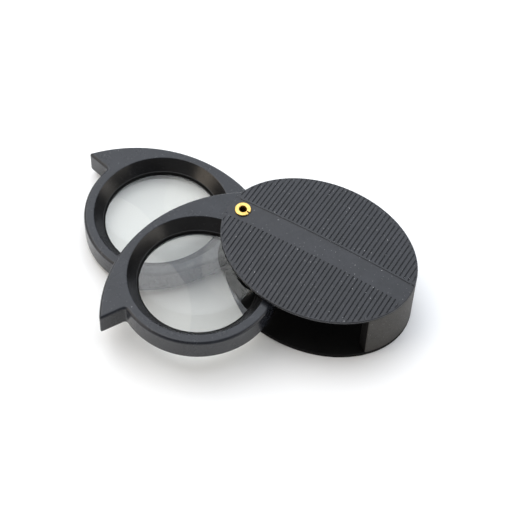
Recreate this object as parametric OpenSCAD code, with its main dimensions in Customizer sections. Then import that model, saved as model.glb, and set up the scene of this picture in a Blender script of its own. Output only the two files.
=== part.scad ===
// Folding pocket loupe with two lens arms: an oval ribbed case with a crescent end wall, and two
// identical lens arms stacked one above the other on a hollow brass eyelet.
// Millimetres. +Z is up and the case lies on z = 0. The origin is on the eyelet's axis in the plane
// of the case's underside. +X runs along the smooth band to the wall end of the case.
// Both arms are drawn swung out of the case.

/* [Case] */
// length of the oval case along its band
case_length = 51.6; // [45:0.1:65]
// width of the oval case
case_width = 39.8; // [35:0.1:50]
// distance from the eyelet's axis to the nearer end of the case
case_end = 3.95; // [3.5:0.05:6]
// thickness of the base plate
plate_thick = 1.3; // [1:0.1:2]
// thickness of the wall's skirt, which the base plate is let into
skirt = 1.6; // [1:0.1:2.5]
// thickness of the ribbed cover plate at its rim
cover_plate = 0.7; // [0.5:0.1:1.2]
// depth of the boss under the cover plate, round the eyelet
boss_depth = 0.9; // [0.5:0.1:1.5]
// radius of that boss
boss_r = 6; // [5:0.1:8]
// rise of the cover's crowned top above its rim
crown = 1.2; // [0.5:0.1:2]
// width of the smooth sunk band between the ribs
band_width = 5.5; // [4:0.1:8]
// depth of the band below the rib tops
band_depth = 0.2; // [0.1:0.05:0.4]
// width of the ledge between the band and the grooves
band_ledge = 0.4; // [0.2:0.1:0.8]
// distance from one rib to the next
rib_pitch = 1.17; // [0.9:0.01:1.6]
// width of the groove between two ribs
groove_width = 0.42; // [0.3:0.01:0.6]
// depth of the grooves
groove_depth = 0.3; // [0.2:0.05:0.5]
// width of the plain rim outside the grooves
plain_rim = 0.4; // [0.3:0.1:1.2]

/* [Eyelet and washers] */
// radius of the eyelet's open hole
eyelet_hole_r = 0.95; // [0.8:0.05:1.2]
// outside radius of the eyelet's barrel
barrel_r = 1.3; // [1.1:0.05:1.6]
// radius of the rolled flange
flange_r = 2.05; // [1.8:0.05:2.6]
// height that the rolled flange stands off its seat
flange_height = 0.5; // [0.4:0.05:0.8]
// radial clearance between the barrel and what turns on it
turn_clearance = 0.05; // [0.03:0.01:0.1]
// outside radius of the friction washers
washer_r = 4.0; // [3:0.1:5]
// thickness of the friction washers
washer_thick = 0.45; // [0.3:0.05:0.8]

/* [Lens arms] */
// distance from the eyelet's axis to the lens centre
lens_reach = 21.2; // [18:0.1:26]
// outside radius of the lens ring
ring_r = 20; // [17:0.1:24]
// radius of the ring's opening at its top face
opening_r = 17.5; // [14:0.1:20]
// radius of the clear view through the lens
view_r = 14.7; // [12:0.1:17]
// depth of the bevel from the top face down to the lens
bevel_depth = 3.15; // [2:0.05:4]
// thickness of a lens arm
arm_thick = 6.4; // [5:0.1:8]
// gap between one arm and whatever is next to it
arm_gap = 0.2; // [0.15:0.05:0.4]
// radius of the rounded pivot end
hub_r = 7.2; // [5:0.1:8]
// radius of the long outer edge that sweeps from the pivot end to the hook's tip
sweep_r = 36.45; // [30:0.05:42]
// how far along the arm the centre of that sweep lies
sweep_x = 24; // [20:0.1:30]
// how far across the arm the centre of that sweep lies
sweep_y = 16.6; // [12:0.1:22]
// where the hook's notch meets the ring, along and across the arm
notch = [38.8, -9.8];
// tip of the hook, along and across the arm
hook_tip = [45, -13.35];
// play between the hook's notch and the end of the case wall when closed
notch_play = 0.3; // [0.2:0.05:0.6]

/* [Lenses] */
// outside radius of a lens
lens_r = 15.4; // [12:0.1:18]
// thickness of a lens at its edge
lens_edge = 1; // [0.8:0.1:2]
// radius of curvature of both lens faces
lens_curve_r = 80; // [40:1:120]
// thickness of the ring that holds the lens in from below
keeper_thick = 1; // [0.8:0.1:1.6]

/* [Pose] */
// direction of the upper arm, anticlockwise from the band, seen from above
upper_angle = -90.2; // [-320:0.1:0]
// direction of the lower arm
lower_angle = -163; // [-320:0.1:0]

/* [Hidden] */
$fn = 96;
eps = 0.01;
plate_fit = 0.05;
oval_a = case_length / 2;
oval_b = case_width / 2;
oval_x = oval_a - case_end;
oval_steps = 144;
lower_z = plate_thick + arm_gap;
upper_z = lower_z + arm_thick + arm_gap;
cover_z = upper_z + arm_thick + arm_gap;
cover_under = cover_z + boss_depth;
case_top = cover_under + cover_plate;
rib_count = floor(case_length / rib_pitch);
first_groove = oval_x - rib_pitch * rib_count / 2;
groove_start = band_width / 2 + band_ledge;
roll_r = flange_height / 2;
roll_x = flange_r - roll_r;
barrel_fit_r = barrel_r + turn_clearance;
washer_sink = washer_thick - arm_gap + turn_clearance;
washer_seat_r = washer_r + 0.1;
foot_sink = flange_height + 0.02;
foot_seat_r = flange_r + 0.1;
lens_seat_z = arm_thick - bevel_depth;
lip_thick = 0.3;
lens_top_z = lens_seat_z - lip_thick;
lens_pocket_r = lens_r + 0.05;
lens_slack = 0.03;
lens_sag = lens_curve_r - sqrt(lens_curve_r * lens_curve_r - lens_r * lens_r);
view_sag = lens_curve_r - sqrt(lens_curve_r * lens_curve_r - view_r * view_r);
lens_bulge = lens_sag - view_sag + lens_slack;
lens_edge_z = lens_top_z - lens_bulge - lens_edge;
keeper_z = lens_edge_z - lens_bulge - keeper_thick;
keeper_recess = keeper_z - 0.1;
keeper_flare = 0.8;
flank_inset = 0.2;
wall_inner_r = lens_reach + ring_r + arm_gap + 0.1;
crown_r_wide = (oval_b * oval_b + crown * crown) / (2 * crown);
crown_turn = 18;
crown_slice = 8;
crown_step = 2;
seat_drop = crown * pow(oval_x / oval_a, 2) + 0.18;
seat_z = case_top + crown - seat_drop;
notch_run = hook_tip - notch;
notch_dir = notch_run / norm(notch_run);
notch_side = [-notch_dir[1], notch_dir[0]];
far = 60;

// everything is drawn at full size in its place in the assembly
module oval(inset = 0) {
  // outline of the case, moved inwards by inset
  translate([oval_x, 0])
    polygon([for (i = [0 : oval_steps - 1])
      let (turn = 360 * i / oval_steps)
      [(oval_a - inset) * cos(turn), (oval_b - inset) * sin(turn)]]);
}

module stripes() {
  // all the grooves of one plate: parallel stripes across it, kept off the band and the rim
  intersection() {
    oval(plain_rim);
    union() {
      for (side = [-1, 1])
        for (i = [0 : rib_count])
          translate([first_groove + i * rib_pitch - groove_width / 2,
                     side > 0 ? groove_start : -far / 2])
            square([groove_width, far / 2 - groove_start]);
    }
  }
}

module above_notch(play) {
  // the half plane on the wall's side of the closed hook's notch, less the play
  edge = notch + play * notch_side;
  polygon([edge - far * notch_dir,
           edge + far * notch_dir,
           edge + far * notch_dir + far * notch_side,
           edge - far * notch_dir + far * notch_side]);
}

module below_notch(play) {
  // the half plane on the closed hook's side of the same line
  edge = notch + play * notch_side;
  polygon([edge - far * notch_dir,
           edge + far * notch_dir,
           edge + far * notch_dir - far * notch_side,
           edge - far * notch_dir - far * notch_side]);
}

module wall_outline() {
  // crescent between the oval and the sweep of the lens rings, ended where the notch closes on it
  intersection() {
    difference() {
      oval();
      circle(wall_inner_r, $fn = 240);
    }
    above_notch(notch_play);
    mirror([0, 1])
      above_notch(notch_play);
  }
}

module skirt_outline() {
  // outer strip of the wall that runs down past the base plate's edge
  difference() {
    wall_outline();
    oval(skirt);
  }
}

module base_plate() {
  // lower plate, let into the wall's skirt, with ribs on its underside
  color("#141415")
    difference() {
      linear_extrude(plate_thick)
        difference() {
          oval();
          skirt_cut();
        }
      translate([0, 0, -eps])
        linear_extrude(groove_depth + eps)
          difference() {
            stripes();
            circle(foot_seat_r + plain_rim);
          }
      translate([0, 0, -eps])
        cylinder(r = foot_seat_r, h = foot_sink + eps);
      cylinder(r = barrel_r, h = far, center = true);
      translate([0, 0, plate_thick - washer_sink])
        cylinder(r = washer_seat_r, h = plate_thick);
    }
}

module crowned(drop) {
  // a thick slice under the crowned surface of the cover's top, lowered by drop
  translate([oval_x, 0, case_top + crown - drop - crown_r_wide])
    rotate([0, -90, 0])
      rotate([0, 0, -crown_turn / 2])
        rotate_extrude(angle = crown_turn, $fn = 720)
          polygon(concat(
            [[crown_r_wide - crown_slice, -far / 2], [crown_r_wide - crown_slice, far / 2]],
            [for (x = [far / 2 : -crown_step : -far / 2])
              [crown_r_wide - crown * pow(x / oval_a, 2), x]]));
}

module crown_grooves() {
  // grooves across the crown, each swept about the crown's own axis
  for (i = [0 : rib_count], side = [-1, 1]) {
    along = first_groove + i * rib_pitch - oval_x;
    share = along / (oval_a - plain_rim);
    reach = (oval_b - plain_rim) * sqrt(max(0, 1 - share * share));
    if (reach > groove_start + groove_width) {
      low_turn = asin(groove_start / crown_r_wide);
      high_turn = asin(reach / crown_r_wide);
      translate([oval_x, 0, case_top + crown - crown_r_wide])
        rotate([0, -90, 0])
          rotate([0, 0, side > 0 ? low_turn : -high_turn])
            rotate_extrude(angle = high_turn - low_turn, $fn = 720)
              translate([crown_r_wide - crown * pow(along / oval_a, 2) - groove_depth,
                         -along - groove_width / 2])
                square([groove_depth + 1, groove_width]);
    }
  }
}

module skirt_cut() {
  // room for the skirt and the fit around it, cut from the base plate
  difference() {
    oval(-1);
    oval(skirt + plate_fit);
    for (side = [0, 1])
      mirror([0, side])
        below_notch(notch_play - plate_fit);
  }
}

module case_shell() {
  // crowned, ribbed cover with a smooth sunk band, and the crescent end wall in one moulding
  color("#2c2d31")
    difference() {
      union() {
        intersection() {
          translate([0, 0, cover_under])
            linear_extrude(cover_plate + crown)
              oval();
          crowned(0);
        }
        translate([0, 0, cover_z])
          linear_extrude(boss_depth + cover_plate / 2)
            intersection() {
              oval(plain_rim);
              circle(boss_r);
            }
        translate([0, 0, plate_thick + plate_fit])
          linear_extrude(cover_under - plate_thick)
            wall_outline();
        linear_extrude(cover_under)
          skirt_outline();
      }
      crown_grooves();
      difference() {
        translate([-far / 2, -band_width / 2, cover_under])
          cube([2 * far, band_width, cover_plate + 2 * crown]);
        crowned(band_depth);
      }
      translate([0, 0, seat_z])
        cylinder(r = foot_seat_r, h = far);
      translate([0, 0, cover_z - eps])
        cylinder(r = barrel_r, h = far);
    }
}

module eyelet() {
  // hollow rivet: a straight barrel, rolled over at both ends
  color("#d9b64a")
    difference() {
      union() {
        translate([0, 0, roll_r])
          cylinder(r = barrel_r, h = seat_z);
        for (z = [roll_r, seat_z + roll_r])
          translate([0, 0, z])
            rotate_extrude()
              union() {
                translate([roll_x, 0])
                  circle(roll_r, $fn = 32);
                translate([eyelet_hole_r - eps, -roll_r])
                  square([roll_x - eyelet_hole_r, 2 * roll_r]);
              }
      }
      cylinder(r = eyelet_hole_r, h = far, center = true);
    }
}

module washer(z) {
  color("#b9b7ae")
    translate([0, 0, z])
      difference() {
        cylinder(r = washer_r, h = washer_thick);
        translate([0, 0, -eps])
          cylinder(r = barrel_fit_r, h = washer_thick + 2 * eps);
      }
}

module arm_outline() {
  // lens ring, rounded pivot end, the straight flank between them, and the hooked thumb piece
  flank_turn = acos((hub_r - ring_r) / lens_reach);
  flank = [cos(flank_turn), sin(flank_turn)];
  intersection() {
    translate([sweep_x, sweep_y])
      circle(sweep_r, $fn = 240);
    union() {
      translate([lens_reach, 0])
        circle(ring_r, $fn = 180);
      circle(hub_r);
      polygon([(hub_r - flank_inset) * flank,
               [0, 0],
               -[sweep_x, sweep_y] / 2,
               [-sweep_x / 2, -far],
               [far, -far],
               notch + far / 2 * notch_dir,
               notch,
               [lens_reach, 0],
               [lens_reach, 0] + (ring_r - flank_inset) * flank]);
    }
  }
}

module lens_arm() {
  // one arm lying along +X with its underside on z = 0; the lens goes in from below
  difference() {
    linear_extrude(arm_thick)
      arm_outline();
    translate([lens_reach, 0, lens_seat_z])
      cylinder(r1 = view_r, r2 = opening_r, h = bevel_depth + eps);
    translate([lens_reach, 0, -eps])
      cylinder(r = view_r, h = arm_thick);
    translate([lens_reach, 0, -eps])
      cylinder(r = lens_pocket_r, h = lens_top_z + eps);
    translate([lens_reach, 0, -eps])
      cylinder(r1 = lens_pocket_r + keeper_flare, r2 = lens_pocket_r, h = keeper_recess);
    translate([0, 0, -eps])
      cylinder(r = barrel_fit_r, h = arm_thick + 2 * eps);
    translate([0, 0, arm_thick - washer_sink])
      cylinder(r = washer_seat_r, h = washer_sink + eps);
  }
}

module lens_blank() {
  // biconvex lens, cut from two spheres
  translate([lens_reach, 0, lens_edge_z])
    intersection() {
      translate([0, 0, -lens_sag])
        cylinder(r = lens_r, h = lens_edge + 2 * lens_sag);
      translate([0, 0, lens_edge + lens_sag - lens_curve_r])
        sphere(lens_curve_r, $fn = 180);
      translate([0, 0, lens_curve_r - lens_sag])
        sphere(lens_curve_r, $fn = 180);
    }
}

module keeper_blank() {
  // snap-in ring under the lens
  translate([lens_reach, 0, keeper_z])
    difference() {
      cylinder(r = lens_pocket_r - lens_slack, h = keeper_thick);
      translate([0, 0, -eps])
        cylinder(r = view_r, h = keeper_thick + 2 * eps);
    }
}

module place_arm(angle, z) {
  translate([0, 0, z])
    rotate([0, 0, angle])
      children();
}

module upper_arm() {
  color("#2f3136")
    place_arm(upper_angle, upper_z)
      lens_arm();
}

module lower_arm() {
  color("#2f3136")
    place_arm(lower_angle, lower_z)
      lens_arm();
}

module upper_lens() {
  color("#dfe8ea", 0.35)
    place_arm(upper_angle, upper_z)
      lens_blank();
}

module lower_lens() {
  color("#dfe8ea", 0.35)
    place_arm(lower_angle, lower_z)
      lens_blank();
}

module upper_lens_keeper() {
  color("#1d1e20")
    place_arm(upper_angle, upper_z)
      keeper_blank();
}

module lower_lens_keeper() {
  color("#1d1e20")
    place_arm(lower_angle, lower_z)
      keeper_blank();
}

module cover_washer() {
  washer(upper_z + arm_thick - washer_sink);
}

module middle_washer() {
  washer(lower_z + arm_thick - washer_sink);
}

module base_washer() {
  washer(plate_thick - washer_sink);
}

case_shell();
base_plate();
eyelet();
cover_washer();
middle_washer();
base_washer();
upper_arm();
upper_lens();
upper_lens_keeper();
lower_arm();
lower_lens();
lower_lens_keeper();
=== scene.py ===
import math

import bpy
import numpy as np
from mathutils import Matrix, Vector
from mathutils.geometry import delaunay_2d_cdt


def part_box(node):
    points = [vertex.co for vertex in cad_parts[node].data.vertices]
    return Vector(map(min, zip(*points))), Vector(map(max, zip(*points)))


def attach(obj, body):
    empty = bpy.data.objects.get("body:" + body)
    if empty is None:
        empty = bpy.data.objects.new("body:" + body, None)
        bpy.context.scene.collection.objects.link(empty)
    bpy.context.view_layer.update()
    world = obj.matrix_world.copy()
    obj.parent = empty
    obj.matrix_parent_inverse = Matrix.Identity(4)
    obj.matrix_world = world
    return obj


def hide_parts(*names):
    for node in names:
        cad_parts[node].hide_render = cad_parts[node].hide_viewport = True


# Folding pocket loupe: an oval ribbed case, two lens arms on a brass eyelet.
# All sizes below are in millimetres in the CAD frame; meshes are written in metres.

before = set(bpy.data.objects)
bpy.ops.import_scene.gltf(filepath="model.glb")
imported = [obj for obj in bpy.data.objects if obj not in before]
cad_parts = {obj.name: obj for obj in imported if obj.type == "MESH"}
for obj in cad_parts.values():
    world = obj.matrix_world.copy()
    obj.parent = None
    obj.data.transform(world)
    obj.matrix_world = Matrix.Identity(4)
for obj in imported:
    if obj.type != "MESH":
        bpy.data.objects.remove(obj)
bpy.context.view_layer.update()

MM = 0.001
TAU = 2 * math.pi


def box_mm(node):
    """Lowest and highest corner of a CAD node."""
    low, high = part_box(node)
    return low / MM, high / MM


shell_low, shell_high = box_mm("case_shell")
_, plate_high = box_mm("base_plate")
upper_low, upper_high = box_mm("upper_arm")
lower_low, lower_high = box_mm("lower_arm")
eyelet_low, eyelet_high = box_mm("eyelet")

# --- case ---
# The oval outline, and the crowned cover with its smooth sunk band.
OVAL_A = (shell_high.x - shell_low.x) / 2
OVAL_B = (shell_high.y - shell_low.y) / 2
OVAL_X = (shell_high.x + shell_low.x) / 2
CROWN = 1.2
CROWN_R = (OVAL_B * OVAL_B + CROWN * CROWN) / (2 * CROWN)
BAND_HALF = 2.75
BAND_DEPTH = 0.2
BAND_STEP = 0.1
CROWN_TOP = shell_high.z + BAND_HALF * BAND_HALF / (2 * CROWN_R)
COVER_PLATE = 0.7
COVER_UNDER = CROWN_TOP - CROWN - COVER_PLATE
RIM_FILLET = 0.22
RIM_INSET = 0.9 * RIM_FILLET
SEAM = 0.1

# The grooves between the ribs, and the mesh lines that follow half of each groove.
GROOVE_START = BAND_HALF + 0.4
PITCH = 1.17
RIBS = math.floor(2 * OVAL_A / PITCH)
FIRST_GROOVE = OVAL_X - PITCH * RIBS / 2
GROOVE_DEPTH = 0.22
GROOVE_HALF = 0.23
GROOVE_LINES = (0.03, 0.08, 0.13, 0.18, GROOVE_HALF)
PLAIN_RIM = 0.08
RAMP = 0.12
SEAT_RAMP = 0.06
LINE_STEP = 1.5

# The boss under the cover, round the eyelet.
BOSS_R = 6.0
BOSS_INSET = 0.8
BOSS_FILLET = 0.3
BOSS_SINK = 0.1

# The end wall; what lies deeper than SKIN_DEPTH behind the oval is painted near-black as shade.
WALL_INNER_R = 41.5
WALL_FILLET = 0.25
WALL_TOP_EDGE = 0.2
SKIN_DEPTH = 0.3

# The lower plate, let into the wall's skirt.
PLATE_TOP = plate_high.z
SKIRT = 1.6
PLATE_FIT = 0.05
PLATE_FILLET = 0.15
PLATE_CHAMFER = 0.1

# --- arms ---
# Levels, then the lens opening from the top face down to the pocket's flared mouth.
ARM_THICK = upper_high.z - upper_low.z
ARM_GAP = upper_low.z - lower_high.z
COVER_Z = upper_high.z + ARM_GAP
OPENING_R = 17.5
OPENING_ROUND = 0.4
STEP_R = 15.25
STEP_Z = 3.35
STEP_ROUND = 0.1
VIEW_R = 14.7
VIEW_SLOPE = 0.25
LEDGE_ROUND = 0.08
LIP_TOP = 3.05
LIP_UNDER = 2.95
POCKET_R = 15.45
FLARE_R = POCKET_R + 0.8
FLARE_Z = 0.52
MOUTH_ROUND = 0.1
MOUTH_RIM = 0.4
FINISH_MARGIN = 0.1
LENS_EDGE = 1.0
# Width of the painted shade ring at the glass's rim.
LENS_SHADE_RIM = 0.12

# The outline: ring, pivot end, long sweep and hook.
RING_R = 20.0
HUB_R = 7.2
SWEEP_R = 36.45
SWEEP_CENTRE = np.array((24.0, 16.6))
NOTCH = np.array((38.8, -9.8))
HOOK_TIP = np.array((45.0, -13.35))
NOTCH_PLAY = 0.3
TOP_FILLET = 0.8
UNDER_FILLET = 0.4
WASHER_SEAT_R = 4.1
WASHER_SINK = 0.3
SEAT_RIM = 0.3
BORE_PLAY = 0.05

# --- eyelet ---
HOLE_R = 0.95
BARREL_R = 1.3
FLANGE_R = 2.05
FOOT_SEAT_R = FLANGE_R + 0.1
ROLL = 0.25
BEAD_ROUND = 0.24
SLIT = math.radians(8)
SLIT_TURN = math.radians(-6)

# --- meshes and small edges ---
# SOFT lengths are how far an outline's corners are softened. FLAT_EDGE is the strip that a
# rounded edge keeps of the flat face beside it.
OVAL_SOFT = 0.5
WALL_SOFT = 0.55
PLATE_SOFT = 0.4
BOSS_SOFT = 0.9
ARM_SOFT = 1.4
FLAT_EDGE = 0.01
SEGMENTS = 192
LENS_RINGS = 64
FILLET_STEPS = 6
CORNER_SHARE = 0.9
EDGE_ROUND = 0.05
KEEPER_ROUND = 0.12

scene = bpy.context.scene


def unit(v):
    return v / np.linalg.norm(v)


def polar(turn):
    return np.array((math.cos(turn), math.sin(turn)))


def arc(centre, radius, start, stop, count):
    """Points on an arc, both ends included."""
    return [np.array(centre) + radius * polar(t) for t in np.linspace(start, stop, count)]


def rounded_outline(points, soft, step=0.25):
    """A closed outline, evenly spaced, with its corners softened over a length of about soft."""
    line = np.array(points + points[:1])
    run = np.concatenate(([0], np.cumsum(np.linalg.norm(np.diff(line, axis=0), axis=1))))
    window = 12
    skip = max(1, round(step * window / soft))
    count = int(run[-1] / (soft / window)) // skip * skip
    spots = np.linspace(0, run[-1], count, endpoint=False)
    even = np.stack([np.interp(spots, run, line[:, k]) for k in (0, 1)], axis=1)
    for _ in (0, 1):
        wrapped = np.concatenate((even[-window:], even, even[:window]))
        total = np.cumsum(wrapped, axis=0)
        mean = (total[window:] - total[:-window]) / window
        even = mean[window // 2: window // 2 + count]
    tangent = np.roll(even, -1, axis=0) - np.roll(even, 1, axis=0)
    tangent /= np.linalg.norm(tangent, axis=1)[:, None]
    normal = np.stack((tangent[:, 1], -tangent[:, 0]), axis=1)
    return even[::skip], normal[::skip]


def inside(spots, loop):
    """Which spots lie inside a closed loop."""
    a, b = loop, np.roll(loop, -1, axis=0)
    x, y = spots[:, 0:1], spots[:, 1:2]
    straddles = (a[:, 1] > y) != (b[:, 1] > y)
    rise = np.where(b[:, 1] == a[:, 1], 1, b[:, 1] - a[:, 1])
    crossing = a[:, 0] + (y - a[:, 1]) * (b[:, 0] - a[:, 0]) / rise
    return (straddles & (x < crossing)).sum(axis=1) % 2 == 1


def distance(spots, loop):
    """Distance from each spot to a closed loop."""
    a, b = loop, np.roll(loop, -1, axis=0)
    best = np.full(len(spots), np.inf)
    for p, q in zip(a, b):
        run = q - p
        share = np.clip((spots - p) @ run / (run @ run), 0, 1)
        best = np.minimum(best, ((spots - p - share[:, None] * run) ** 2).sum(axis=1))
    return np.sqrt(best)


def corner_radius(spots, away):
    """How tightly an outline bends at each point; its hollows and straights count as wide."""
    run = np.roll(spots, -1, axis=0) - np.roll(spots, 1, axis=0)
    bend = np.roll(away, -1, axis=0) - np.roll(away, 1, axis=0)
    radius = (run**2).sum(axis=1) / np.maximum((bend * run).sum(axis=1), 1e-6)
    return np.minimum(np.minimum(radius, np.roll(radius, 1)), np.roll(radius, -1))


def smooth(t):
    """A soft step from 0 to 1."""
    t = np.clip(t, 0, 1)
    return t * t * (3 - 2 * t)


def profile(corners, steps=FILLET_STEPS, closed=False):
    """Points and normals (out, up, normal out, normal up) along a path of (out, up, radius)
    corners, walked with the solid on its left."""
    result = []
    count = len(corners)
    for k, (out, up, radius) in enumerate(corners):
        here = np.array((out, up), float)
        before = after = None
        if closed or k > 0:
            before = unit(here - np.array(corners[k - 1][:2]))
        if closed or k < count - 1:
            after = unit(np.array(corners[(k + 1) % count][:2]) - here)
        if before is None:
            before = after
        if after is None:
            after = before
        first = np.array((before[1], -before[0]))
        last = np.array((after[1], -after[0]))
        turn = math.atan2(before[0] * after[1] - before[1] * after[0], before @ after)
        if radius == 0 or abs(turn) < 1e-6:
            result.append((*here, *first))
            if abs(turn) > 1e-6:
                result.append((*here, *last))
            continue
        side = math.copysign(1, turn)
        start = here - before * radius * math.tan(abs(turn) / 2)
        centre = start - side * radius * first
        for i in range(steps + 1):
            bend = turn * i / steps
            c, s = math.cos(bend), math.sin(bend)
            n = np.array((c * first[0] - s * first[1], s * first[0] + c * first[1]))
            result.append((*(centre + side * radius * n), *n))
    return result


class Skin:
    """Vertices that carry their own normals, and the faces between them."""

    def __init__(self):
        self.points = []
        self.normals = []
        self.faces = []

    def loop(self, points, normals):
        first = len(self.points)
        self.points += [tuple(map(float, p)) for p in points]
        self.normals += [tuple(map(float, n)) for n in normals]
        return list(range(first, len(self.points)))

    def join(self, a, b, closed=True):
        """Faces between two loops; a loop of one point is the tip of a fan."""
        count = max(len(a), len(b))
        for i in range(count if closed else count - 1):
            j = (i + 1) % count
            face = []
            for corner in (a[i % len(a)], a[j % len(a)], b[j % len(b)], b[i % len(b)]):
                if corner not in face:
                    face.append(corner)
            self.faces.append(face)

    def chain(self, loops, closed=True, ring=False):
        """Faces along a row of loops, none between two that share a place."""
        pairs = list(zip(loops, loops[1:]))
        if ring:
            pairs.append((loops[-1], loops[0]))
        for a, b in pairs:
            gap = np.subtract(self.points[a[0]], self.points[b[0]])
            if np.abs(gap).max() > 1e-7:
                self.join(a, b, closed)

    def fill(self, outer, holes=()):
        """A flat cap between an outer loop and the loops of its holes."""
        loops = [list(outer)] + [list(h) for h in holes]
        index = [i for loop in loops for i in loop]
        spots = [Vector(self.points[i][:2]) for i in index]
        edges = []
        start = 0
        for loop in loops:
            size = len(loop)
            edges += [(start + i, start + (i + 1) % size) for i in range(size)]
            start += size
        out, _, faces, origin, _, _ = delaunay_2d_cdt(spots, edges, [], 0, 1e-7)
        centres = np.array([sum((out[i] for i in face), Vector((0, 0))) / 3 for face in faces])
        keep = inside(centres, self.flat(loops[0]))
        for hole in loops[1:]:
            keep &= ~inside(centres, self.flat(hole))
        level, facing = self.points[index[0]][2], self.normals[index[0]]
        named = [
            index[sources[0]] if sources else self.loop([(*spot, level)], [facing])[0]
            for spot, sources in zip(out, origin)
        ]
        self.faces += [[named[i] for i in face] for face, wanted in zip(faces, keep) if wanted]

    def flat(self, loop):
        return np.array([self.points[i][:2] for i in loop])

    def revolve(self, path, centre=(0, 0), ring=False, start=0, stop=TAU):
        """Turn a profile about an upright axis; a part turn is closed by flat ends."""
        whole = stop - start > TAU - 1e-6
        turns = np.linspace(start, stop, SEGMENTS, endpoint=not whole)
        around = np.stack((np.cos(turns), np.sin(turns)), axis=1)
        loops = []
        for out, up, n_out, n_up in path:
            if out < 1e-6:
                loops.append(self.loop([(*centre, up)], [(0, 0, math.copysign(1, n_up))]))
                continue
            spots = np.array(centre) + out * around
            facing = [(*(n_out * d), n_up) for d in around]
            loops.append(self.loop([(*p, up) for p in spots], facing))
        self.chain(loops, closed=whole, ring=ring)
        if not whole:
            for d, side in ((around[0], -1), (around[-1], 1)):
                facing = (-side * d[1], side * d[0], 0)
                spots = [(*(np.array(centre) + out * d), up) for out, up, _, _ in path]
                kept = [
                    p for i, p in enumerate(spots)
                    if np.abs(np.subtract(p, spots[i - 1])).max() > 1e-7
                ]
                self.faces.append(self.loop(kept, [facing] * len(kept)))
        return loops

    def sweep(self, outline, path):
        """Carry a profile round an outline; out is measured outwards from it."""
        spots, away = outline
        room = -CORNER_SHARE * corner_radius(spots, away)
        loops = [
            self.loop([(*p, up) for p in spots + np.maximum(out, room)[:, None] * away],
                      [(*(n_out * n), n_up) for n in away])
            for out, up, n_out, n_up in path
        ]
        self.chain(loops)
        return loops

    def flip(self, level):
        """Mirror everything in the plane z = level."""
        self.points = [(x, y, 2 * level - z) for x, y, z in self.points]
        self.normals = [(x, y, -z) for x, y, z in self.normals]

    def piece(self, name, finish, body, nodes, slot, turn=0, lift=0):
        """Make the Blender object and tie it to its CAD body and nodes."""
        spin = np.array(Matrix.Rotation(turn, 3, "Z"))
        points = np.array(self.points) @ spin.T + (0, 0, lift)
        normals = np.array(self.normals) @ spin.T
        corners = np.array([
            (*face, face[2]) if len(face) == 3 else [face[len(face) * k // 4] for k in range(4)]
            for face in self.faces
        ])
        p = points[corners]
        facing = np.cross(p[:, 2] - p[:, 0], p[:, 3] - p[:, 1])
        upright = (facing * normals[corners].sum(axis=1)).sum(axis=1) >= 0
        faces = [face if good else face[::-1] for face, good in zip(self.faces, upright)]
        mesh = bpy.data.meshes.new(name)
        mesh.from_pydata((points * MM).tolist(), [], faces)
        mesh.shade_smooth()
        mesh.normals_split_custom_set_from_vertices(normals.tolist())
        mesh.materials.append(finish)
        obj = bpy.data.objects.new(name, mesh)
        scene.collection.objects.link(obj)
        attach(obj, body)
        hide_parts(*nodes)
        return obj


# --- materials ---


def add(tree, kind, **values):
    """A shader node, with its properties and inputs set by name."""
    node = tree.nodes.new(kind)
    for key, value in values.items():
        if hasattr(node, key):
            setattr(node, key, value)
        else:
            node.inputs[key.replace("_", " ")].default_value = value
    return node


def remap(tree, source, low, high, to_low, to_high):
    """Stretch the range low to high of a value over another range."""
    node = add(tree, "ShaderNodeMapRange")
    for place, value in zip((1, 2, 3, 4), (low, high, to_low, to_high)):
        node.inputs[place].default_value = value
    tree.links.new(source, node.inputs[0])
    return node.outputs[0]


def noise(tree, where, scale, detail=3, roughness=0.6):
    """Cloudy values; scale counts per millimetre."""
    node = add(tree, "ShaderNodeTexNoise", Scale=scale, Detail=detail, Roughness=roughness)
    tree.links.new(where, node.inputs["Vector"])
    return node.outputs["Fac"]


def blend(tree, share, a, b):
    """Mix two colours, each a tuple or another node's output."""
    node = add(tree, "ShaderNodeMix", data_type="RGBA")
    for place, value in ((6, a), (7, b)):
        if isinstance(value, tuple):
            node.inputs[place].default_value = (*value, 1)
        else:
            tree.links.new(value, node.inputs[place])
    tree.links.new(share, node.inputs[0])
    return node.outputs[2]


def surface(name):
    """A new material, its tree, its shader, and coordinates counted in millimetres."""
    material = bpy.data.materials.new(name)
    material.use_nodes = True
    tree = material.node_tree
    shader = tree.nodes["Principled BSDF"]
    coords = add(tree, "ShaderNodeTexCoord")
    mapping = add(tree, "ShaderNodeMapping")
    mapping.inputs["Scale"].default_value = (1 / MM,) * 3
    tree.links.new(coords.outputs["Object"], mapping.inputs["Vector"])
    return material, tree, shader, mapping.outputs[0]


def relief(tree, shader, height, strength, depth):
    """Fine bumps; depth is in millimetres."""
    bump = add(tree, "ShaderNodeBump", Strength=strength, Distance=depth * MM)
    tree.links.new(height, bump.inputs["Height"])
    tree.links.new(bump.outputs[0], shader.inputs["Normal"])


def plastic(name, dark, light, rough, grain, grain_size=0.16, specks=0.0, specular=0.5,
            mottling=0.5):
    """Moulded plastic: cloudy tone and gloss, fine grain, and a little dust.
    The grain's size and the gloss's mottling are in millimetres."""
    material, tree, shader, where = surface(name)
    cloud = noise(tree, where, 0.22, 5)
    mottle = noise(tree, where, 1 / mottling, 4)
    tone = blend(tree, remap(tree, cloud, 0.35, 0.65, 0, 1), dark, light)
    if specks:
        dust = remap(tree, noise(tree, where, 2.6, 1), 0.74, 0.78, 0, specks)
        tone = blend(tree, dust, tone, (0.55, 0.55, 0.56))
    tree.links.new(tone, shader.inputs["Base Color"])
    low, high = rough
    tree.links.new(remap(tree, mottle, 0.3, 0.7, low, high), shader.inputs["Roughness"])
    shader.inputs["Specular IOR Level"].default_value = specular
    relief(tree, shader, noise(tree, where, 1 / grain_size, 3), grain, 0.03)
    return material


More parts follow.
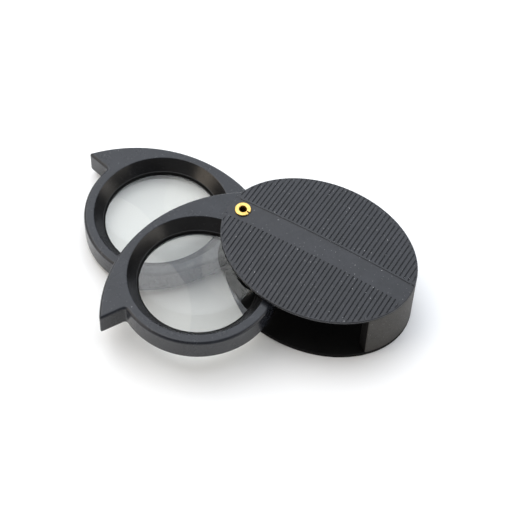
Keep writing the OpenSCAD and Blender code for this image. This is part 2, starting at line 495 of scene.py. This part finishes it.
CASE = plastic(
    "case_plastic", (0.014, 0.0155, 0.0195), (0.02, 0.0215, 0.027), rough=(0.42, 0.56),
    grain=0.5, specks=0.6, specular=0.4)
# The end wall: its grain and dust are real; its lighter, warmer tone than the cover is painted light,
# for light falling on the case's side.
SIDE_LIT_WALL = plastic(
    "wall_plastic_painted_side_light", (0.024, 0.0215, 0.018), (0.034, 0.0305, 0.0255), rough=(0.55, 0.7),
    grain=0.8, grain_size=0.3, specks=0.5)
ARM = plastic(
    "arm_plastic", (0.011, 0.0125, 0.0165), (0.016, 0.0178, 0.023), rough=(0.23, 0.3),
    grain=0.04, grain_size=0.3, specks=0.3, specular=0.38, mottling=4)
GLOSS = plastic(
    "keeper_plastic", (0.006, 0.006, 0.0065), (0.01, 0.01, 0.011), rough=(0.2, 0.28), grain=0.06)
# Near-black painted shade: the lower plate, the end wall's inside and end faces, and the arms' ledge
# and pocket take it in place of the shade in the case's opening and at the lens lip.
SHADE_BLACK = plastic(
    "plate_plastic", (0.004, 0.004, 0.004), (0.006, 0.006, 0.006), rough=(0.6, 0.75),
    grain=0.4, specular=0.08)
FIBRE = plastic(
    "washer_fibre", (0.3, 0.29, 0.26), (0.38, 0.37, 0.34), rough=(0.6, 0.8),
    grain=0.6, grain_size=0.1)


def brass():
    """Polished brass with a little tarnish."""
    material, tree, shader, where = surface("eyelet_brass")
    stain = noise(tree, where, 1.4, 4)
    tone = blend(tree, remap(tree, stain, 0.4, 0.7, 0, 1), (0.72, 0.5, 0.16), (0.5, 0.32, 0.08))
    tree.links.new(tone, shader.inputs["Base Color"])
    shader.inputs["Metallic"].default_value = 1
    rough = remap(tree, noise(tree, where, 3, 3), 0.3, 0.7, 0.22, 0.4)
    tree.links.new(rough, shader.inputs["Roughness"])
    relief(tree, shader, noise(tree, where, 5, 3), 0.3, 0.04)
    return material


def glass():
    """Glass that lets the lamps' light through to what lies under it; its grey tint, on the light
    seen through it and on the light passing it, is painted shade that darkens the floor under the
    lens.
    """
    material, tree, shader, where = surface("lens_glass")
    # Grey tint: painted shade of the floor seen under the lens.
    shader.inputs["Base Color"].default_value = (0.8, 0.805, 0.79, 1)
    shader.inputs["Transmission Weight"].default_value = 1
    shader.inputs["IOR"].default_value = 1.5
    rough = remap(tree, noise(tree, where, 0.3, 4), 0.4, 0.75, 0, 0.012)
    tree.links.new(rough, shader.inputs["Roughness"])
    # The grey of the lamps' pass through the glass is painted shade on the floor under the lens.
    shaded_pass = add(tree, "ShaderNodeBsdfTransparent", Color=(0.87, 0.875, 0.86, 1))
    mix = add(tree, "ShaderNodeMixShader")
    path = add(tree, "ShaderNodeLightPath")
    either = add(tree, "ShaderNodeMath", operation="MAXIMUM")
    tree.links.new(path.outputs["Is Shadow Ray"], either.inputs[0])
    tree.links.new(path.outputs["Is Diffuse Ray"], either.inputs[1])
    tree.links.new(either.outputs[0], mix.inputs[0])
    tree.links.new(shader.outputs[0], mix.inputs[1])
    tree.links.new(shaded_pass.outputs[0], mix.inputs[2])
    tree.links.new(mix.outputs[0], tree.nodes["Material Output"].inputs["Surface"])
    return material


BRASS = brass()
GLASS = glass()

# --- outlines ---


def oval(inset=0, start=0, stop=TAU, count=361):
    """Points on the case's oval, moved inwards."""
    return [
        np.array((OVAL_X + (OVAL_A - inset) * math.cos(t), (OVAL_B - inset) * math.sin(t)))
        for t in np.linspace(start, stop, count)
    ]


def meet_oval(point, along, centre, a, b):
    """Where a line leaves an upright oval, and the oval's own angle there."""
    scale = np.array((a, b))
    p, d = (point - centre) / scale, along / scale
    half, length = p @ d, d @ d
    reach = (-half + math.sqrt(half * half - length * (p @ p - 1))) / length
    spot = p + reach * d
    return math.atan2(spot[1], spot[0])


notch_dir = unit(HOOK_TIP - NOTCH)
notch_side = np.array((-notch_dir[1], notch_dir[0]))


def arm_outline():
    """The lens ring, the straight flank, the pivot end, the long sweep and the hook, in turn."""
    ring = np.array((lens_reach, 0))
    flank = math.acos((HUB_R - RING_R) / lens_reach)
    step_back = np.arctan2(-SWEEP_CENTRE[1], -SWEEP_CENTRE[0]) % TAU
    tip = meet_oval(NOTCH, notch_dir, SWEEP_CENTRE, SWEEP_R, SWEEP_R) % TAU
    start = math.atan2(*(NOTCH - ring)[::-1])
    points = arc(ring, RING_R, start, flank, 300)
    points += arc((0, 0), HUB_R, flank, step_back, 80)
    points += arc(SWEEP_CENTRE, SWEEP_R, step_back, tip, 300)
    points.append(NOTCH)
    return rounded_outline(points, ARM_SOFT)


def case_outlines():
    """The crescent wall, and the base plate that is let into its skirt."""
    pivot = np.zeros(2)
    edge = NOTCH + NOTCH_PLAY * notch_side
    inner = meet_oval(edge, notch_dir, pivot, WALL_INNER_R, WALL_INNER_R)
    centre = np.array((OVAL_X, 0))
    outer = meet_oval(edge, notch_dir, centre, OVAL_A, OVAL_B)
    wall = oval(0, outer, -outer, 200) + arc(pivot, WALL_INNER_R, -inner, inner, 160)
    edge = edge - PLATE_FIT * notch_side
    outer = meet_oval(edge, notch_dir, centre, OVAL_A, OVAL_B)
    cut = SKIRT + PLATE_FIT
    inset = meet_oval(edge, notch_dir, centre, OVAL_A - cut, OVAL_B - cut)
    plate = oval(0, -outer, outer - TAU, 500)[::-1] + oval(cut, inset, -inset, 160)
    return rounded_outline(wall, WALL_SOFT), rounded_outline(plate, PLATE_SOFT)


def boss_line():
    """A disc round the eyelet, cut off where the case's end comes nearer."""
    points = []
    for turn in np.linspace(0, TAU, 240, endpoint=False):
        away = polar(turn)
        a, b = OVAL_A - BOSS_INSET, OVAL_B - BOSS_INSET
        t = meet_oval(np.zeros(2), away, np.array((OVAL_X, 0)), a, b)
        rim = (OVAL_X + a * math.cos(t), b * math.sin(t))
        points.append(away * min(BOSS_R, math.hypot(*rim)))
    return rounded_outline(points, BOSS_SOFT)


# --- case ---


def ribbed(outline, height, hole_r, lines):
    """A plate whose upper face follows a height and carries grooves, filled in as a fine mesh.
    Returns the skin, the loop at its rim and the loop round its hole."""
    spots, away = outline
    skin = Skin()
    points = []
    edges = []

    def strand(row, closed):
        first = len(points)
        points.extend(row)
        size = len(row)
        edges.extend((first + i, first + (i + 1) % size) for i in range(size if closed else size - 1))
        return range(first, first + size)

    rim = strand(list(spots), True)
    for inset in (PLAIN_RIM, PLAIN_RIM + RAMP / 2, PLAIN_RIM + RAMP):
        strand(list(spots - inset * away), True)
    hole = strand(arc((0, 0), hole_r, 0, TAU, 65)[:-1], True)
    for past in (0, SEAT_RAMP, PLAIN_RIM, PLAIN_RIM + RAMP):
        strand(arc((0, 0), FOOT_SEAT_R + past, 0, TAU, 97)[:-1], True)
    for start, stop in lines:
        along = np.linspace(start, stop, max(2, int(np.linalg.norm(stop - start) / LINE_STEP)))
        kept = inside(along, spots - 0.02 * away)
        row = along[kept]
        if len(row) > 1:
            strand(list(row), False)
    out, _, faces, origin, _, _ = delaunay_2d_cdt([Vector(p) for p in points], edges, [], 0, 1e-6)
    flat = np.array([tuple(v) for v in out])
    e = 0.002
    z = height(flat, spots)
    dx = (height(flat + (e, 0), spots) - height(flat - (e, 0), spots)) / (2 * e)
    dy = (height(flat + (0, e), spots) - height(flat - (0, e), spots)) / (2 * e)
    facing = np.stack((-dx, -dy, np.ones(len(flat))), axis=1)
    facing /= np.linalg.norm(facing, axis=1)[:, None]
    skin.loop(np.column_stack((flat, z)), facing)
    centres = np.array([flat[list(face)].mean(axis=0) for face in faces])
    keep = inside(centres, spots) & (np.linalg.norm(centres, axis=1) > hole_r)
    skin.faces = [list(face) for face, wanted in zip(faces, keep) if wanted]
    where = {}
    for i, sources in enumerate(origin):
        for source in sources:
            where[source] = i
    return skin, [where[i] for i in rim], [where[i] for i in hole]


def rib_lines():
    """Lines for the mesh to follow: along the grooves and along the band."""
    far = 2 * OVAL_A
    lines = []
    for i in range(RIBS + 1):
        for offset in (*GROOVE_LINES, *(-s for s in GROOVE_LINES), PITCH / 2):
            x = FIRST_GROOVE + i * PITCH + offset
            for side in (-1, 1):
                start = side * (GROOVE_START - 0.1)
                lines.append((np.array((x, start)), np.array((x, start + side * far / 2))))
    band = (0, BAND_HALF / 2, BAND_HALF - BAND_STEP, BAND_HALF - BAND_STEP / 2, BAND_HALF)
    for y in (*band, GROOVE_START, GROOVE_START + RAMP / 2, GROOVE_START + RAMP):
        for side in (-1, 1):
            ends = [np.array((OVAL_X + reach, side * y)) for reach in (-OVAL_A, OVAL_A)]
            lines.append(ends)
    return lines


def grooves(flat, rim):
    """How deep the grooves are at each spot."""
    phase = (flat[:, 0] - FIRST_GROOVE) / PITCH
    off = np.abs(phase - np.round(phase)) * PITCH
    shape = 0.5 + 0.5 * np.cos(math.pi * np.clip(off / GROOVE_HALF, 0, 1))
    reach = smooth((distance(flat, rim) - PLAIN_RIM) / RAMP)
    reach *= smooth((np.abs(flat[:, 1]) - GROOVE_START) / RAMP)
    reach *= smooth((np.linalg.norm(flat, axis=1) - FOOT_SEAT_R - PLAIN_RIM) / RAMP)
    return GROOVE_DEPTH * shape * reach


def cover_height(flat, rim):
    """The crowned top, its sunk band and grooves, and the flat seat of the eyelet's flange."""
    across = (flat[:, 0] - OVAL_X) / OVAL_A
    top = CROWN_TOP - CROWN * across**2 - flat[:, 1] ** 2 / (2 * CROWN_R)
    band = BAND_DEPTH * smooth((BAND_HALF - np.abs(flat[:, 1])) / BAND_STEP)
    top = top - np.maximum(grooves(flat, rim), band)
    sunk = smooth((FOOT_SEAT_R + SEAT_RAMP - np.linalg.norm(flat, axis=1)) / SEAT_RAMP)
    return top * (1 - sunk) + COVER_SEAT * sunk


def plate_height(flat, rim):
    """The lower plate's ribbed face, drawn upwards and turned over later."""
    top = PLATE_TOP - grooves(flat, rim)
    sunk = smooth((FOOT_SEAT_R + SEAT_RAMP - np.linalg.norm(flat, axis=1)) / SEAT_RAMP)
    return top - 2 * ROLL * sunk


def finish_plate(skin, rim, hole, outline, fillet, level, chamfer):
    """Round the rim of a ribbed plate over, and close its side, its bore and its flat face."""
    _, away = outline
    points = np.array([skin.points[i] for i in rim])
    facing = np.array([skin.normals[i] for i in rim])
    outward = np.column_stack((away, np.zeros(len(away))))
    loops = [rim]
    for k in range(1, FILLET_STEPS + 1):
        turn = k / FILLET_STEPS
        normal = (1 - turn) * facing + turn * outward
        normal /= np.linalg.norm(normal, axis=1)[:, None]
        loops.append(skin.loop(points + fillet * (normal - facing), normal))
    side = np.array([skin.points[i] for i in loops[-1]])[:, :2]
    low = np.column_stack((side, np.full(len(side), level + chamfer)))
    loops.append(skin.loop(low, outward))
    slant = (outward + (0, 0, -1)) / math.sqrt(2)
    loops.append(skin.loop(low, slant))
    under = np.column_stack((side - chamfer * away, np.full(len(side), level)))
    loops.append(skin.loop(under, slant))
    skin.chain(loops)
    flat_rim = skin.loop(under, [(0, 0, -1)] * len(under))
    ring = np.array([skin.points[i] for i in hole])
    inward = [(-x / BARREL_R, -y / BARREL_R, 0) for x, y, _ in ring]
    top = skin.loop(ring, inward)
    bottom_points = ring * (1, 1, 0) + (0, 0, level)
    bottom = skin.loop(bottom_points, inward)
    skin.chain([top, bottom])
    flat_hole = skin.loop(bottom_points, [(0, 0, -1)] * len(ring))
    skin.fill(flat_rim, [flat_hole])


COVER_SEAT = eyelet_high.z - 2 * ROLL
lens_low, lens_high = box_mm("upper_lens")
lens_centre = (lens_low + lens_high) / 2
lens_reach = math.hypot(lens_centre.x, lens_centre.y)
lens_r = (lens_high.x - lens_low.x) / 2

wall_line, plate_line = case_outlines()
oval_line = rounded_outline(oval()[:-1], OVAL_SOFT)
inner_rim = (oval_line[0] - RIM_INSET * oval_line[1], oval_line[1])

skin, rim, hole = ribbed(inner_rim, cover_height, BARREL_R, rib_lines())
finish_plate(skin, rim, hole, oval_line, RIM_FILLET, COVER_UNDER, SEAM)
skin.piece("cover", CASE, "case", ["case_shell"], "case_plastic")

boss_top = COVER_UNDER + BOSS_SINK
skin = Skin()
loops = skin.sweep(boss_line(), profile([
    (-BOSS_FILLET - FLAT_EDGE, COVER_Z, 0), (0, COVER_Z, BOSS_FILLET), (0, boss_top, 0),
    (-BOSS_FILLET, boss_top, 0)]))
bore = skin.revolve(profile([
    (BARREL_R + BOSS_FILLET, boss_top, 0), (BARREL_R, boss_top, 0), (BARREL_R, COVER_Z, 0),
    (BARREL_R + BOSS_FILLET, COVER_Z, 0)]))
skin.fill(loops[0], [bore[-1]])
skin.fill(loops[-1], [bore[0]])
skin.piece("boss", CASE, "case", ["case_shell"], "case_plastic")

skin = Skin()
loops = skin.sweep(wall_line, profile([
    (-WALL_FILLET - FLAT_EDGE, 0, 0), (0, 0, WALL_FILLET), (0, COVER_UNDER - SEAM, 0),
    (-SEAM, COVER_UNDER, 0), (-WALL_TOP_EDGE, COVER_UNDER, 0)]))
skin.fill(loops[0])
skin.fill(loops[-1])
wall = skin.piece("end_wall", SIDE_LIT_WALL, "case", ["case_shell"], "case_plastic")
wall.data.materials.append(SHADE_BLACK)
# Every wall face more than SKIN_DEPTH from the oval, all but the outer face, gets the near-black
# painted shade.
middles = np.array([tuple(p.center) for p in wall.data.polygons])[:, :2] / MM
for face, depth in zip(wall.data.polygons, distance(middles, np.array(oval()[:-1]))):
    face.material_index = int(depth > SKIN_DEPTH)

plate_inner = (plate_line[0] - PLATE_FILLET * plate_line[1], plate_line[1])
skin, rim, hole = ribbed(plate_inner, plate_height, BARREL_R, rib_lines())
finish_plate(skin, rim, hole, plate_line, PLATE_FILLET, 0, PLATE_CHAMFER)
skin.flip(PLATE_TOP / 2)
# The lower plate takes the near-black painted shade, for the shade in the case's opening.
skin.piece("base", SHADE_BLACK, "case", ["base_plate"], "plate_plastic")

# --- eyelet ---

skin = Skin()
top, foot = eyelet_high.z, eyelet_low.z
skin.revolve(profile([
    (BARREL_R, foot + ROLL, EDGE_ROUND), (BARREL_R, top - ROLL, EDGE_ROUND),
    (HOLE_R, top - ROLL, EDGE_ROUND), (HOLE_R, foot + ROLL, EDGE_ROUND)], closed=True), ring=True)
for level, sign in ((top, 1), (foot, -1)):
    bead = [
        (HOLE_R, 0, 0.02), (FLANGE_R, 0, BEAD_ROUND), (FLANGE_R, 2 * ROLL, BEAD_ROUND),
        (HOLE_R, 2 * ROLL, BEAD_ROUND)]
    part = Skin()
    part.revolve(profile(bead, steps=8, closed=True), ring=True,
                 start=SLIT_TURN + SLIT, stop=SLIT_TURN + TAU - SLIT)
    shift = len(skin.points)
    skin.points += [(x, y, level - sign * (2 * ROLL - z)) for x, y, z in part.points]
    skin.normals += [(x, y, sign * z) for x, y, z in part.normals]
    skin.faces += [[i + shift for i in face] for face in part.faces]
skin.piece("rivet", BRASS, "case", ["eyelet"], "eyelet_brass")

# --- arms, lenses, keepers and washers ---

arm_line = arm_outline()
bodies = {"upper": ("upper_lens_arm", upper_low.z), "lower": ("lower_lens_arm", lower_low.z)}


def ring_piece(name, finish, body, node, slot, bevel, turn=0):
    """A flat ring that takes the place of a CAD ring of the same size."""
    low, high = box_mm(node)
    centre = (low + high) / 2
    outer = (high.x - low.x) / 2
    inner = VIEW_R if "keeper" in node else BARREL_R + BORE_PLAY
    skin = Skin()
    skin.revolve(profile([(outer, low.z, bevel), (outer, high.z, bevel), (inner, high.z, bevel),
                          (inner, low.z, bevel)], closed=True),
                 centre[:2], ring=True, start=turn, stop=turn + TAU)
    skin.piece(name, finish, body, [node], slot)


def lens_profile(low, high):
    """Two shallow caps and the edge between them, from the bottom up."""
    sag = (high - low - LENS_EDGE) / 2
    radius = (lens_r * lens_r + sag * sag) / (2 * sag)
    turns = np.linspace(0, math.asin(lens_r / radius), LENS_RINGS)
    under = [
        (radius * math.sin(t), low + radius * (1 - math.cos(t)), math.sin(t), -math.cos(t))
        for t in turns
    ]
    over = [(out, low + high - up, n_out, -n_up) for out, up, n_out, n_up in under[::-1]]
    return under + [(*under[-1][:2], 1, 0), (*over[0][:2], 1, 0)] + over


def coat(obj, centre, choose, *finishes):
    """Give an object more finishes, chosen for each face by its distance from an axis."""
    for finish in finishes:
        obj.data.materials.append(finish)
    for face in obj.data.polygons:
        off = math.hypot(face.center.x / MM - centre.x, face.center.y / MM - centre.y)
        face.material_index = choose(off)


def arm_finish(off):
    """Satin outside, gloss on the bevel, and near-black painted shade from the ledge inwards, for the
    dark line at the lens lip and the shaded pocket.
    """
    return int(off < OPENING_R - FINISH_MARGIN) + int(off < STEP_R - FINISH_MARGIN)


def lens_finish(off):
    """Glass, with its rim painted black as shade, for the dark line where the glass meets the bevel.
    """
    return int(off > VIEW_R - LENS_SHADE_RIM)


for key, (body, level) in bodies.items():
    low, high = box_mm(f"{key}_lens")
    centre = (low + high) / 2
    turn = math.atan2(centre.y, centre.x)

    skin = Skin()
    edge = skin.sweep(arm_line, profile([
        (-UNDER_FILLET - FLAT_EDGE, 0, 0), (0, 0, UNDER_FILLET), (0, ARM_THICK, TOP_FILLET),
        (-TOP_FILLET - FLAT_EDGE, ARM_THICK, 0)]))
    eye = skin.revolve(profile([
        (OPENING_R + OPENING_ROUND, ARM_THICK, 0), (OPENING_R, ARM_THICK, OPENING_ROUND),
        (STEP_R, STEP_Z, STEP_ROUND), (VIEW_R + VIEW_SLOPE, STEP_Z, LEDGE_ROUND),
        (VIEW_R, LIP_TOP, 0), (VIEW_R, LIP_UNDER, 0), (POCKET_R, LIP_UNDER, 0),
        (POCKET_R, FLARE_Z, 0), (FLARE_R, 0, MOUTH_ROUND), (FLARE_R + MOUTH_RIM, 0, 0)]),
        (lens_reach, 0))
    seat_z = ARM_THICK - WASHER_SINK
    bore_r = BARREL_R + BORE_PLAY
    bore = skin.revolve(profile([
        (WASHER_SEAT_R + SEAT_RIM, ARM_THICK, 0), (WASHER_SEAT_R, ARM_THICK, EDGE_ROUND),
        (WASHER_SEAT_R, seat_z, 0), (bore_r, seat_z, 0), (bore_r, 0, MOUTH_ROUND),
        (BARREL_R + MOUTH_RIM, 0, 0)]))
    skin.fill(edge[0], [eye[-1], bore[-1]])
    skin.fill(edge[-1], [eye[0], bore[0]])
    ring = skin.piece(f"{key}_ring", ARM, body, [f"{key}_arm"], "arm_plastic", turn, level)
    # The ledge and pocket get the near-black painted shade.
    coat(ring, centre, arm_finish, GLOSS, SHADE_BLACK)

    skin = Skin()
    skin.revolve(lens_profile(low.z, high.z), centre[:2], start=turn, stop=turn + TAU)
    lens = skin.piece(f"{key}_glass", GLASS, body, [f"{key}_lens"], "lens_glass")
    # The glass's rim gets the black gloss as painted shade.
    coat(lens, centre, lens_finish, GLOSS)

    ring_piece(
        f"{key}_keeper", GLOSS, body, f"{key}_lens_keeper", "keeper_plastic", KEEPER_ROUND, turn)

ring_piece("washer_top", FIBRE, "upper_lens_arm", "cover_washer", "washer_fibre", EDGE_ROUND)
ring_piece("washer_middle", FIBRE, "lower_lens_arm", "middle_washer", "washer_fibre", EDGE_ROUND)
ring_piece("washer_foot", FIBRE, "case", "base_washer", "washer_fibre", EDGE_ROUND)

# --- floor, light and camera ---

LAMP_AWAY = 1.2
FLOOR_HALF = 3
FLOOR_GAP = 0.02


def floor():
    """A plain pale sheet of paper, just under the case."""
    mesh = bpy.data.meshes.new("floor")
    corners = [(x * FLOOR_HALF, y * FLOOR_HALF, 0) for x, y in ((-1, -1), (1, -1), (1, 1), (-1, 1))]
    mesh.from_pydata(corners, [], [(0, 1, 2, 3)])
    material, tree, shader, where = surface("floor_paper")
    cloud = noise(tree, where, 0.05, 3)
    tone = blend(tree, cloud, (0.9, 0.9, 0.9), (0.94, 0.94, 0.94))
    tree.links.new(tone, shader.inputs["Base Color"])
    shader.inputs["Roughness"].default_value = 0.9
    shader.inputs["Specular IOR Level"].default_value = 0.1
    mesh.materials.append(material)
    obj = bpy.data.objects.new("floor", mesh)
    obj.location.z = -FLOOR_GAP * MM
    scene.collection.objects.link(obj)


def softbox(name, azimuth, elevation, size, power, tint):
    """An oval area light aimed at the object from a direction given in degrees."""
    az, el = math.radians(azimuth), math.radians(elevation)
    back = Vector((math.sin(az) * math.cos(el), -math.cos(az) * math.cos(el), math.sin(el)))
    light = bpy.data.lights.new(name, "AREA")
    light.shape = "ELLIPSE"
    light.size, light.size_y = size
    light.energy = power
    light.color = tint
    obj = bpy.data.objects.new(name, light)
    obj.location = back * LAMP_AWAY
    obj.rotation_euler = back.to_track_quat("Z", "Y").to_euler()
    scene.collection.objects.link(obj)


floor()
world = bpy.data.worlds.new("studio")
world.use_nodes = True
world.node_tree.nodes["Background"].inputs["Color"].default_value = (1, 1, 1, 1)
world.node_tree.nodes["Background"].inputs["Strength"].default_value = 0.2
scene.world = world
softbox("back", 207, 60, (2.4, 2.4), 31, (0.88, 0.93, 1))
softbox("left", -80, 50, (1.6, 1.6), 7.5, (1, 0.94, 0.85))
softbox("right", 109, 17, (1.3, 0.8), 4.2, (1, 0.94, 0.86))
softbox("side", -42, 20, (0.9, 0.5), 3.2, (1, 0.86, 0.7))
scene.view_settings.view_transform = "Standard"

CAMERA_AZIMUTH = math.radians(28.861)
CAMERA_ELEVATION = math.radians(55.956)
CAMERA_ROLL = math.radians(2.513)
CAMERA_AWAY = 448.17
CAMERA_TARGET = Vector((4.21, -0.37, 0))
CAMERA_LENS = 122.7

back = Vector((
    math.sin(CAMERA_AZIMUTH) * math.cos(CAMERA_ELEVATION),
    -math.cos(CAMERA_AZIMUTH) * math.cos(CAMERA_ELEVATION),
    math.sin(CAMERA_ELEVATION)))
right = Vector((math.cos(CAMERA_AZIMUTH), math.sin(CAMERA_AZIMUTH), 0))
up = back.cross(right)
roll_right = math.cos(CAMERA_ROLL) * right + math.sin(CAMERA_ROLL) * up
roll_up = back.cross(roll_right)
camera = bpy.data.cameras.new("camera")
camera.lens = CAMERA_LENS
camera_obj = bpy.data.objects.new("camera", camera)
place = (CAMERA_TARGET + back * CAMERA_AWAY) * MM
turn = Matrix((roll_right, roll_up, back)).transposed().to_4x4()
camera_obj.matrix_world = Matrix.Translation(place) @ turn
scene.collection.objects.link(camera_obj)
scene.camera = camera_obj
